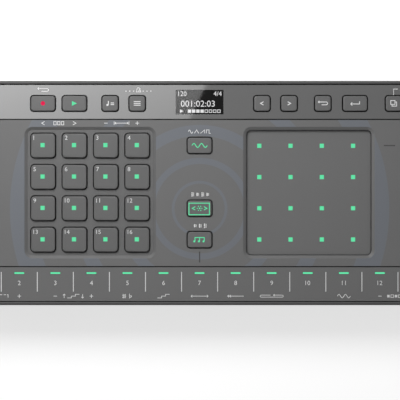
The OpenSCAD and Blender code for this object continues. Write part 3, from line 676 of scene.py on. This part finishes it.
def pendulum(width):
    """Pendulum in its case, with beats to either side."""
    first, last = 2.4, width / 2 - 0.3
    shapes = [
        loop((-1.1, -1.0), (1.1, -1.0), (0.5, 1.1), (-0.5, 1.1)),
        line((0, -0.7), (1.0, 0.9))
    ]
    for side in (-1, 1):
        for beat in range(3):
            shapes.append(dot(side * (first + beat * (last - first) / 2), -0.6, 0.3))
    return shapes


def sheets():
    """Three sheets beside each other."""
    return [loop(*box(x, 0, 1.2, 1.7)) for x in (-1.9, 0, 1.9)]


def span_arrow(width):
    """Arrow to both sides between two stops."""
    stop = width / 2
    tip = stop - 0.4
    return [
        line((-stop, -0.85), (-stop, 0.85)),
        line((stop, -0.85), (stop, 0.85)),
        line((-tip, 0), (tip, 0)),
        arrow_head(-tip, 0, -1, 0.5),
        arrow_head(tip, 0, 1, 0.5)
    ]


def wave(width, height, turns):
    """Sine wave."""
    steps = WAVE_POINTS * turns
    rounds = 2 * math.pi * turns
    shares = [i / steps for i in range(steps + 1)]
    points = [(width * (share - 0.5), height / 2 * math.sin(rounds * share)) for share in shares]
    return [line(*points)]


def wave_shapes():
    """Sine, triangle, saw and square wave in a row."""
    low, high = -0.85, 0.85
    sine = shifted(wave(2.2, high - low, 1), -4.5, 0)
    triangle = shifted([line((-1.1, low), (0, high), (1.1, low))], -1.5, 0)
    saw = shifted([line((-1.1, low), (1.0, high), (1.0, low))], 1.5, 0)
    square = shifted([line((-1.1, low), (-1.1, high), (0.2, high), (0.2, low), (1.1, low))], 4.5, 0)
    return sine + triangle + saw + square


def stacks(spreads):
    """Stacks of three note heads, each with its own spread."""
    shapes = []
    for i, spread in enumerate(spreads):
        x = (i - (len(spreads) - 1) / 2) * 2.5
        shapes += [dot(x, row * spread, 0.36) for row in (-1, 0, 1)]
        shapes.append(line((x + 0.75, -spread - 0.2), (x + 0.75, spread + 0.2)))
    return shapes


def notes(count):
    """Row of joined notes."""
    shapes = []
    pitch = 2.3
    half = (count - 1) / 2 * pitch
    for i in range(count):
        x = i * pitch - half
        shapes += [dot(x - 0.35, -0.8, 0.5), line((x, -0.8), (x, 1.1))]
    shapes.append(line((-half - 0.15, 1.1), (half + 0.15, 1.1)))
    return shapes


def orbit():
    """Ring of dots round a middle dot, between two chevrons."""
    ring = [dot(x, y, 0.27) for x, y in arc_points(0, 0, 1.15, 0, 300, 5)]
    return ring + [dot(0, 0, 0.4)] + shifted(chevron(-1), -2.9, 0) + shifted(chevron(1), 2.9, 0)


def tempo_note():
    """Note and an equals sign."""
    return [
        dot(-1.3, -0.75, 0.55),
        line((-0.85, -0.75), (-0.85, 1.2)),
        line((0.3, 0.2), (2.0, 0.2)),
        line((0.3, -0.6), (2.0, -0.6))
    ]


def menu_lines():
    """Three lines over each other."""
    return [line((-1.7, y), (1.7, y)) for y in (-0.9, 0.0, 0.9)]


def enter_arrow():
    """Arrow that comes down and turns left."""
    return [line((2.2, 1.0), (2.2, -0.3), (-2.2, -0.3)), arrow_head(-2.2, -0.3, -1, 0.75)]


def two_sheets():
    """Sheet in front of another one."""
    behind = line((-0.9, -0.5), (-0.9, -1.35), (1.4, -1.35), (1.4, 0.7), (0.55, 0.7))
    return [loop(*box(-0.5, 0.45, 2.1, 1.9)), behind]


def cross():
    """Two crossed strokes."""
    return [line((-0.9, -0.9), (0.9, 0.9)), line((-0.9, 0.9), (0.9, -0.9))]


def octave_sign():
    """Dashed line with a hook, as over a stave."""
    dashes = [line((x, 0.7), (x + 1.2, 0.7)) for x in (-2.6, -0.7, 1.2)]
    return dashes + [line((2.9, 0.7), (3.4, 0.7), (3.4, -0.7))]


def stairs(count, run):
    """Rising steps."""
    rise = 1.8 / (count - 1)
    points = []
    for i in range(count):
        x = (i - count / 2) * run
        y = i * rise - 0.9
        points += [(x, y), (x + run, y)]
    return [line(*points)]


def up_and_down():
    """Stairs between an arrow up and an arrow down."""
    up = [line((-4.6, -1.0), (-4.6, 1.0)), line((-5.2, 0.4), (-4.6, 1.0), (-4.0, 0.4))]
    down = [line((4.6, -1.0), (4.6, 1.0)), line((5.2, -0.4), (4.6, -1.0), (4.0, -0.4))]
    return up + down + stairs(3, 2.0)


def sharp_and_flat():
    """Sharp and flat sign beside each other."""
    sharp = [line((x, -1.1), (x, 1.1)) for x in (-2.1, -1.2)]
    sharp += [line((-2.6, y), (-0.7, y + 0.2)) for y in (-0.6, 0.4)]
    flat = [line((1.0, 1.2), (1.0, -1.0), (2.0, -0.3), (1.9, 0.2), (1.0, 0.1))]
    return sharp + flat


def both_ways(width):
    """Arrow to both sides."""
    half = width / 2
    return [line((-half, 0), (half, 0)), arrow_head(-half, 0, -1), arrow_head(half, 0, 1)]


def back_ways(width):
    """Arrow to the left with two heads."""
    half = width / 2
    return [line((-half, 0), (half, 0)), arrow_head(-half, 0, -1), arrow_head(-half + 1.0, 0, -1)]


def switch_back(width):
    """Long ring that is open at its top, with an arrow head."""
    end = width / 2 - 0.5
    turn = arc_points(end, 0, 0.5, -90, 90, 6)
    turn_back = arc_points(-end, 0, 0.5, 90, 270, 6)
    return [line((-0.6, 0.5), *turn_back, *turn, (0.9, 0.5)), arrow_head(0.9, 0.5, -1, 0.5)]


def step_row(count):
    """Row of squares, every second one filled."""
    shapes = []
    for i in range(count):
        corners = box((i - (count - 1) / 2) * 1.9, 0, 1.3, 1.3)
        shapes.append(fill(*corners) if i % 2 == 0 else loop(*corners))
    return shapes


# Prints on the case

KEY_LINE_Y = -44.3
KEY_LINE_L = 9.8
KEY_LINE_W = 0.4
KEY_NUMBER_Y = -44.85
KEY_NUMBER_H = 2.2
KEY_SIGN_Y = -51.45
PANEL_ROW_Y = 34.85
SIGN_ABOVE_BUTTON = 6.95
PANEL_LINE_W = 0.6
CHORD_LINE_L = 5.4
CHORD_LINE_BELOW = 8.65
TOUCH_LINE_L = 5.6
TOUCH_LINE_LEFT = 12.3
STRIP_SIGN_Y = 51.4
PENDULUM_RIGHT = 0.6
BRACKET_Y = 48.9
BRACKET_H = 2.95
BRACKET_ARM = 2.2
BRACKET_SIGN_BELOW = 0.2


def print_signs(name, signs, z, width, material):
    """One piece with several signs: each is shapes and a place."""
    mesh = bmesh.new()
    for shapes, x, y in signs:
        add_shapes(mesh, shifted(shapes, x, y), width, z, z + INK)
    add_piece(name, mesh, CHASSIS, material)


def key_x(number):
    """Middle of a touch key, or a place between two of them."""
    return (number - (KEY_COUNT + 1) / 2) * KEY_PITCH


def print_keys():
    """Lines, numbers and signs of the touch keys."""
    rule = [line((0, -KEY_LINE_L / 2), (0, KEY_LINE_L / 2))]
    rules = [(rule, key_x(number + 0.5), KEY_LINE_Y) for number in range(1, KEY_COUNT)]
    print_signs("key_lines", rules, KEY_Z, KEY_LINE_W, INK_WHITE)
    mesh = bmesh.new()
    for number in range(1, KEY_COUNT + 1):
        add_number(mesh, str(number), key_x(number), KEY_NUMBER_Y, KEY_NUMBER_H, KEY_Z, KEY_Z + INK)
    add_piece("key_numbers", mesh, CHASSIS, INK_WHITE)
    row = (
        (1, minus()), (1.5, octave_sign()), (2, plus()),
        (3, minus()), (3.5, up_and_down()), (4, plus()),
        (5, sharp_and_flat()), (6, stairs(3, 2.0)), (7, both_ways(8.5)),
        (8, back_ways(8.0)), (9, switch_back(11.5)), (11, wave(6.5, 1.8, 2)),
        (12, minus()), (12.5, step_row(6)), (13, plus())
    )
    signs = [(shapes, key_x(number), KEY_SIGN_Y) for number, shapes in row]
    print_signs("key_signs", signs, KEY_Z, THIN, INK_WHITE)


def print_panel():
    """Signs and lines of the main panel."""
    record_x = centre_of("record_button")[0]
    play_x = centre_of("play_button")[0]
    menu_x = centre_of("menu_button")[0]
    third_x = menu_x - (play_x - record_x)
    row = (
        (chevron(-1), record_x), (sheets(), (record_x + play_x) / 2), (chevron(1), play_x),
        (minus(), third_x), (span_arrow(7.4), (third_x + menu_x) / 2), (plus(), menu_x)
    )
    signs = [(shapes, x, PANEL_ROW_Y) for shapes, x in row]
    above = (
        ("sound_button", wave_shapes()), ("mode_button", stacks((0.75, 0.5, 0.75, 0.5))),
        ("chord_button", stacks((0.45, 0.62, 0.8))), ("touch_mode_button", orbit())
    )
    for node, shapes in above:
        x, y, _ = centre_of(node)
        signs.append((shapes, x, y + SIGN_ABOVE_BUTTON))
    print_signs("panel_signs", signs, FACE_Z, THIN, INK_WHITE)
    chord_y = centre_of("chord_button")[1]
    touch_x, touch_y, _ = centre_of("touch_mode_button")
    chord_line = [line((0, -CHORD_LINE_L / 2), (0, CHORD_LINE_L / 2))]
    touch_line = [line((-TOUCH_LINE_L / 2, 0), (TOUCH_LINE_L / 2, 0))]
    rules = [
        (chord_line, 0.0, chord_y - CHORD_LINE_BELOW),
        (touch_line, touch_x - TOUCH_LINE_LEFT, touch_y)
    ]
    print_signs("panel_lines", rules, FACE_Z, PANEL_LINE_W, INK_DARK)


def bracket(along):
    """Corner of a bracket over two buttons, with its arm to the left (-1) or to the right (1)."""
    return [line((0, 0), (0, BRACKET_H), (along * BRACKET_ARM, BRACKET_H))]


def print_strip():
    """Signs of the glossy strip."""
    record_x = centre_of("record_button")[0]
    menu_x = centre_of("menu_button")[0]
    copy_x = centre_of("copy_button")[0]
    clear_x = centre_of("clear_button")[0]
    signs = [
        (return_arrow(5.4), record_x, STRIP_SIGN_Y),
        (pendulum(13.0), menu_x + PENDULUM_RIGHT, STRIP_SIGN_Y),
        (bracket(1), copy_x, BRACKET_Y),
        (bracket(-1), clear_x, BRACKET_Y),
        (span_arrow(6.0), (copy_x + clear_x) / 2, BRACKET_Y + BRACKET_H - BRACKET_SIGN_BELOW)
    ]
    print_signs("strip_signs", signs, FACE_Z, THIN, INK_WHITE)


# Figures in the display: text, place across and along, and height
FIGURES = (("120", -8.6, 49.7, 2.3), ("4/4", 9.0, 49.7, 2.3), ("001:02:03", -0.9, 44.7, 3.1))
# Row of steps under them, with a play mark before it: widths and depths of a full and of an open step
STEP_Y = 40.95
STEP_FIRST_X = -5.05
STEP_PITCH = 2.1
STEP_FULL = (1.65, 1.6)
STEP_OPEN = (1.35, 1.3)
STEP_PLAY_X = -9.0


def draw_display():
    """Lit figures and blocks behind the window."""
    mesh = bmesh.new()
    low = WINDOW_LOW_Z
    high = low + INK
    for text, x, y, height in FIGURES:
        add_number(mesh, text, x, y, height, low, high)
    add_shapes(mesh, shifted(play_mark(-0.8, 0.9, 0.9), STEP_PLAY_X, STEP_Y), THIN, low, high)
    for i in range(STEP_COUNT):
        x = STEP_FIRST_X + STEP_PITCH * i
        if i < STEP_COUNT / 2:
            step = fill(*box(x, STEP_Y, *STEP_FULL))
        else:
            step = loop(*box(x, STEP_Y, *STEP_OPEN))
        add_shapes(mesh, [step], THIN, low, high)
    add_piece("display_figures", mesh, CHASSIS, LIT_WHITE)


# Marks on the caps, with places from the middle of a cap

PAD_LIGHT = 2.1
PAD_LIGHT_X = -0.2
PAD_LIGHT_Y = 0.2
PAD_NUMBER_X = -4.75
PAD_NUMBER_Y = 3.9
PAD_NUMBER_H = 2.1
MODE_FRAME_X = -0.2
MODE_FRAME_Y = -0.3
MODE_FRAME_SIZE = (10.2, 5.75)
MODE_FRAME_LINE_W = 0.45


def mark_cap(node, body, shapes, width, material, suffix="mark"):
    """Sign on a cap's top, which moves with the cap."""
    x, y, top = centre_of(node)
    mesh = bmesh.new()
    add_shapes(mesh, shifted(shapes, x, y), width, top, top + INK)
    add_piece(f"{node}_{suffix}", mesh, body, material)


def mark_pads():
    """Light window and number of each pad."""
    window = [fill(*box(PAD_LIGHT_X, PAD_LIGHT_Y, PAD_LIGHT, PAD_LIGHT))]
    for number in range(1, PAD_COUNT + 1):
        node = f"pad_{number}"
        body = f"{node}_cap"
        mark_cap(node, body, window, THIN, LIT_GREEN, "light")
        x, y, top = centre_of(node)
        mesh = bmesh.new()
        add_number(mesh, str(number), x + PAD_NUMBER_X, y + PAD_NUMBER_Y, PAD_NUMBER_H, top, top + INK,
                   centred=False)
        add_piece(f"{node}_number", mesh, body, INK_WHITE)


def mark_buttons():
    """Sign of each push button."""
    marks = (
        ("record", [dot(0, 0, 1.1)], LIT_RED), ("play", play_mark(-1.2, 1.3, 1.2), LIT_GREEN),
        ("tempo", tempo_note(), INK_WHITE), ("menu", menu_lines(), INK_WHITE),
        ("left", chevron(-1), INK_WHITE), ("right", chevron(1), INK_WHITE),
        ("back", return_arrow(4.6), INK_WHITE), ("enter", enter_arrow(), INK_WHITE),
        ("copy", two_sheets(), INK_WHITE), ("clear", cross(), INK_WHITE),
        ("sound", wave(7.6, 2.0, 2), LIT_GREEN), ("mode", orbit(), LIT_GREEN),
        ("chord", notes(3), LIT_GREEN), ("touch_mode", wave(7.6, 2.0, 1), LIT_GREEN)
    )
    for stem, shapes, material in marks:
        mark_cap(f"{stem}_button", f"{stem}_cap", shapes, BOLD, material)
    mode_frame = [loop(*box(MODE_FRAME_X, MODE_FRAME_Y, *MODE_FRAME_SIZE))]
    mark_cap("mode_button", "mode_cap", mode_frame, MODE_FRAME_LINE_W, LIT_GREEN, "frame")


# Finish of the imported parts

# Angles in degrees from which an edge stays sharp
SHARP_ANGLES = {"main_panel": 25.0, "upper_case": 50.0, "lower_case": 50.0}
CAP_ANGLE = 50.0
PLAIN_ANGLE = 30.0
# Points closer than this are one point
JOIN_REACH = 0.001
# Rounding of the rim's inner top edge, how far past the panels that edge may lie, and its least angle
RIM_ROUND = 0.45
RIM_STEPS = 2
RIM_REACH = 1.0
RIM_ANGLE = 60.0


def start_group(name):
    """Empty modifier graph with its input and its output."""
    group = bpy.data.node_groups.new(name, "GeometryNodeTree")
    group.interface.new_socket("Geometry", in_out="INPUT", socket_type="NodeSocketGeometry")
    group.interface.new_socket("Geometry", in_out="OUTPUT", socket_type="NodeSocketGeometry")
    return group, add_node(group, "NodeGroupInput"), add_node(group, "NodeGroupOutput")


def rim_group():
    """Modifier graph that marks the inner top edge of the rim, which is to be rounded."""
    group, start, end = start_group("rim_edge")
    place = split(group, add_node(group, "GeometryNodeInputPosition").outputs["Position"])
    inside_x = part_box("main_panel")[1].x + RIM_REACH * MM
    inside_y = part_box("control_strip")[1].y + RIM_REACH * MM
    angle = add_node(group, "GeometryNodeInputMeshEdgeAngle").outputs["Unsigned Angle"]
    tests = [
        math_node(group, "GREATER_THAN", place["Z"], (FACE_Z - FACE_MARGIN) * MM),
        math_node(group, "LESS_THAN", math_node(group, "ABSOLUTE", place["X"]), inside_x),
        math_node(group, "LESS_THAN", math_node(group, "ABSOLUTE", place["Y"]), inside_y)
    ]
    chosen = math_node(group, "GREATER_THAN", angle, math.radians(RIM_ANGLE))
    for test in tests:
        chosen = math_node(group, "MULTIPLY", chosen, test)
    mark = add_node(group, "GeometryNodeStoreNamedAttribute", data_type="FLOAT", domain="EDGE")
    set_sockets(mark, {"Name": "bevel_weight_edge", "Value": 1.0})
    group.links.new(chosen, mark.inputs["Selection"])
    group.links.new(start.outputs[0], mark.inputs["Geometry"])
    group.links.new(mark.outputs["Geometry"], end.inputs[0])
    return group


def round_rim(case):
    """Rounding of the rim's inner top edge."""
    mark = case.modifiers.new("rim_edge", "NODES")
    mark.node_group = rim_group()
    bevel = case.modifiers.new("rim_round", "BEVEL")
    bevel.limit_method = "WEIGHT"
    bevel.width = RIM_ROUND * MM
    bevel.segments = RIM_STEPS
    bevel.use_clamp_overlap = False


def smooth_group(name, degrees):
    """Modifier graph that joins doubled points and smooths all edges below an angle."""
    group, start, end = start_group(name)
    plain = add_node(group, "GeometryNodeRemoveAttribute", {"Name": "custom_normal"})
    join = add_node(group, "GeometryNodeMergeByDistance", {"Distance": JOIN_REACH * MM})
    faces = add_node(group, "GeometryNodeSetShadeSmooth", domain="FACE")
    edges = add_node(group, "GeometryNodeSetShadeSmooth", domain="EDGE")
    angle = add_node(group, "GeometryNodeInputMeshEdgeAngle")
    below = add_node(group, "FunctionNodeCompare", operation="LESS_THAN")
    below.inputs[1].default_value = math.radians(degrees)
    group.links.new(angle.outputs["Unsigned Angle"], below.inputs[0])
    group.links.new(below.outputs[0], edges.inputs["Shade Smooth"])
    chain = (start, plain, join, faces, edges, end)
    for first, second in zip(chain, chain[1:]):
        group.links.new(first.outputs[0], second.inputs[0])
    return group


def slot_of(node):
    """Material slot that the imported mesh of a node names."""
    return NODES[node].data.materials[0].name.split(".")[0]


def finish_parts():
    """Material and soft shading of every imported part."""
    groups = {}
    for name, part in NODES.items():
        slot = slot_of(name)
        part.data.materials.clear()
        part.data.materials.append(OWN_FINISH.get(name, MATERIALS[slot]))
        angle = SHARP_ANGLES.get(name, CAP_ANGLE if slot == "cap_plastic" else PLAIN_ANGLE)
        if angle not in groups:
            groups[angle] = smooth_group(f"smooth_{int(angle)}", angle)
        soften = part.modifiers.new("smooth", "NODES")
        soften.node_group = groups[angle]
        if name == "upper_case":
            round_rim(part)
        even = part.modifiers.new("even_normals", "WEIGHTED_NORMAL")
        even.keep_sharp = True


# Stage, light and camera, in metres

FLOOR_SIDE = 8.0
FLOOR_GLOW = 0.635
# Size of the slow cloud in the floor's tone, in millimetres
FLOOR_CLOUD = 400.0


def floor_paper():
    """Pale paper that looks white to the camera and keeps the shadow."""
    material, tree, shader = start_material("floor_paper", {
        "Roughness": 0.9, "Specular IOR Level": 0.0, "Emission Color": WHITE
    })
    tone = mix_colour(tree, noise(tree, FLOOR_CLOUD), *FLOOR_TONES)
    tree.links.new(tone, shader.inputs["Base Color"])
    glow = math_node(tree, "MULTIPLY", seen_directly(tree), FLOOR_GLOW)
    tree.links.new(glow, shader.inputs["Emission Strength"])
    return material


def make_floor():
    """Floor of pale paper."""
    mesh = bmesh.new()
    bmesh.ops.create_grid(mesh, x_segments=1, y_segments=1, size=FLOOR_SIDE / 2)
    floor = add_object("floor", mesh_data("floor", mesh, floor_paper()))


# Strength of the fill light on the object
WORLD_FILL = 0.236


def make_world():
    """Even fill light, white where the camera, a gloss or a clear piece sees it."""
    world = bpy.data.worlds.new("studio")
    bpy.context.scene.world = world
    world.use_nodes = True
    tree = world.node_tree
    background = tree.nodes["Background"]
    background.inputs["Color"].default_value = WHITE
    strength = map_range(tree, seen_directly(tree), (0.0, 1.0), (WORLD_FILL, 1.0))
    tree.links.new(strength, background.inputs["Strength"])


# Place, width across and power in watts of the key lamp
KEY_PLACE = (-0.14, 0.25, 0.34)
KEY_SIZE = 0.22
KEY_POWER = 1.39


def make_key_light():
    """Soft lamp close behind the object and a little to its left."""
    lamp = bpy.data.lights.new("key", "AREA")
    lamp.shape = "DISK"
    lamp.size = KEY_SIZE
    lamp.energy = KEY_POWER
    holder = add_object("key", lamp)
    holder.location = KEY_PLACE
    aim = -holder.location
    holder.rotation_euler = aim.to_track_quat("-Z", "Y").to_euler()
    holder.visible_camera = False


# The card hangs above the camera, where the glossy strip mirrors it
CARD_PLACE = (0.0, 0.1125, 0.927)
CARD_W = 0.6
CARD_D = 0.105
# Glow of its bright part, falling off to the right, and the share of it from front to rear
CARD_GLOW = (7.1, 4.3)
CARD_GLOW_X = (-0.23, 0.01)
CARD_SHARE = (0.86, 1.06)
CARD_SHARE_Y = (0.088, 0.128)
# Its dim part starts at a slanting edge: a point on that edge, its slant and its blur to either side
CARD_DIM = 0.4
CARD_EDGE = (0.0067, 0.1277)
CARD_SLANT = 0.4707
CARD_BLUR = 0.0025


def card_glow():
    """Glow that is bright on the left of a slanting edge and dim on its right."""
    material, tree, shader = start_material("card_glow", {"Base Color": BLACK, "Emission Color": WHITE})
    place = object_place(tree)
    across = map_range(tree, place["X"], CARD_GLOW_X, CARD_GLOW)
    along = map_range(tree, place["Y"], CARD_SHARE_Y, CARD_SHARE)
    bright = math_node(tree, "MULTIPLY", across, along)
    away = math_node(tree, "SUBTRACT", place["X"], math_node(tree, "MULTIPLY", place["Y"], CARD_SLANT))
    edge = CARD_EDGE[0] - CARD_SLANT * CARD_EDGE[1]
    inside = map_range(tree, away, (edge - CARD_BLUR, edge + CARD_BLUR), (1.0, 0.0), smooth=True)
    extra = math_node(tree, "MULTIPLY", math_node(tree, "SUBTRACT", bright, CARD_DIM), inside)
    tree.links.new(math_node(tree, "ADD", extra, CARD_DIM), shader.inputs["Emission Strength"])
    return material


def make_card():
    """Card that shows in reflections alone."""
    x, y, z = CARD_PLACE
    mesh = bmesh.new()
    mesh.faces.new([mesh.verts.new((*corner, z)) for corner in box(x, y, CARD_W, CARD_D)])
    card = add_object("card", mesh_data("card", mesh, card_glow()))
    card.visible_camera = False
    card.visible_diffuse = False
    card.visible_shadow = False


# Height of the camera above the face, and the middle and the side of what it sees there
CAMERA_HEIGHT = 0.7
VIEW_CENTRE = (0.0002, -0.003476)
VIEW_SIDE = 0.1995
# Width of the sensor in millimetres
SENSOR = 36.0


def make_camera():
    """Camera straight above the object."""
    data = bpy.data.cameras.new("camera")
    data.type = "PERSP"
    data.sensor_width = SENSOR
    data.lens = SENSOR * CAMERA_HEIGHT / VIEW_SIDE
    camera = add_object("camera", data)
    camera.location = (*VIEW_CENTRE, FACE_Z * MM + CAMERA_HEIGHT)
    bpy.context.scene.camera = camera


make_camera()
make_world()
make_key_light()
make_card()
make_floor()
finish_parts()
print_keys()
print_panel()
print_strip()
draw_display()
mark_pads()
mark_buttons()

bpy.context.scene.view_settings.view_transform = "Standard"
